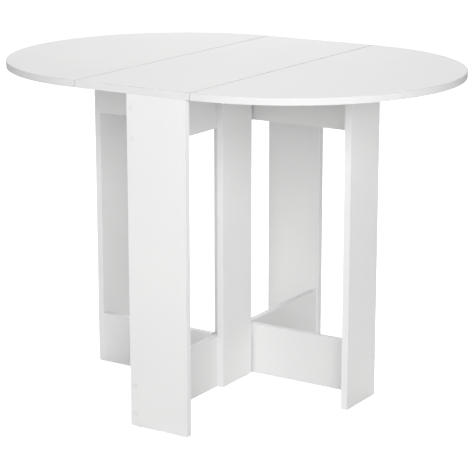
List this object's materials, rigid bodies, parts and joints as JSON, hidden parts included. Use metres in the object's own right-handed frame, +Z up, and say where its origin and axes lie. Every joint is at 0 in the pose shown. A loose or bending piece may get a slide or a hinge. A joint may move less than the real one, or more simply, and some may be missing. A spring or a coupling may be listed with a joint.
{
  "type": "gateleg table",
  "caption": "Oval drop-leaf table in white board, with a narrow fixed middle strip, a Z-plan board frame and a swinging gate under each leaf.",
  "frame": {"origin": "on the floor, under the middle of the top", "axes": "+X along the length, from leaf to leaf, +Y across the middle strip, +Z up"},
  "size_m": [1.03, 0.76, 0.716],
  "materials": {
    "white_board": "satin white melamine on particle board",
    "edge_band": "satin white",
    "screw_cap": "satin white",
    "zinc_steel": "bright zinc plated",
    "beech": "bare",
    "glide_plastic": "white polyethylene"
  },
  "bodies": {
    "frame": {"centre_panel": "white_board", "centre_panel_edge_band": "edge_band", "front_end_leg": "white_board", "rear_end_leg": "white_board", "spine_apron": "white_board", "spine_stretcher": "white_board", "right_post": "white_board", "left_post": "white_board", "frame_screws": "zinc_steel", "frame_screw_caps": "screw_cap", "frame_dowels": "beech", "post_screws": "zinc_steel", "top_brackets": "zinc_steel", "top_bracket_screws": "zinc_steel", "frame_glides": "glide_plastic", "frame_hinge_screws": "zinc_steel", "right_gate_hinge_frame_plates": "zinc_steel", "right_gate_hinge_pins": "zinc_steel", "right_leaf_hinge_strip_plates": "zinc_steel", "right_leaf_hinge_pins": "zinc_steel", "left_gate_hinge_frame_plates": "zinc_steel", "left_gate_hinge_pins": "zinc_steel", "left_leaf_hinge_strip_plates": "zinc_steel", "left_leaf_hinge_pins": "zinc_steel"},
    "right_gate": {"right_gate_upper_rail": "white_board", "right_gate_lower_rail": "white_board", "right_gate_leg": "white_board", "right_gate_hinge_rail_plates": "zinc_steel", "right_gate_hinge_screws": "zinc_steel", "right_gate_screws": "zinc_steel", "right_gate_screw_caps": "screw_cap", "right_gate_dowels": "beech", "right_gate_glides": "glide_plastic", "right_gate_top_pads": "glide_plastic"},
    "left_gate": {"left_gate_upper_rail": "white_board", "left_gate_lower_rail": "white_board", "left_gate_leg": "white_board", "left_gate_hinge_rail_plates": "zinc_steel", "left_gate_hinge_screws": "zinc_steel", "left_gate_screws": "zinc_steel", "left_gate_screw_caps": "screw_cap", "left_gate_dowels": "beech", "left_gate_glides": "glide_plastic", "left_gate_top_pads": "glide_plastic"},
    "right_leaf": {"right_leaf_panel": "white_board", "right_leaf_edge_band": "edge_band", "right_leaf_hinge_leaf_plates": "zinc_steel", "right_leaf_hinge_screws": "zinc_steel", "right_leaf_gate_stop": "beech", "right_leaf_gate_stop_screws": "zinc_steel"},
    "left_leaf": {"left_leaf_panel": "white_board", "left_leaf_edge_band": "edge_band", "left_leaf_hinge_leaf_plates": "zinc_steel", "left_leaf_hinge_screws": "zinc_steel", "left_leaf_gate_stop": "beech", "left_leaf_gate_stop_screws": "zinc_steel"}
  },
  "joints": [
    {"name": "right_gate_swing", "type": "hinge", "parent": "frame", "child": "right_gate", "pos_m": [0.0115, 0.065, 0.059], "axis": [0, 0, 1], "range_deg": [0, 90]},
    {"name": "left_gate_swing", "type": "hinge", "parent": "frame", "child": "left_gate", "pos_m": [-0.0115, -0.065, 0.059], "axis": [0, 0, 1], "range_deg": [0, 90]},
    {"name": "right_leaf_flap", "type": "hinge", "parent": "frame", "child": "right_leaf", "pos_m": [0.14, 0.25, 0.698], "axis": [0, 1, 0], "range_deg": [-3.6, 0]},
    {"name": "left_leaf_flap", "type": "hinge", "parent": "frame", "child": "left_leaf", "pos_m": [-0.14, -0.25, 0.698], "axis": [0, -1, 0], "range_deg": [-3.6, 0]}
  ]
}
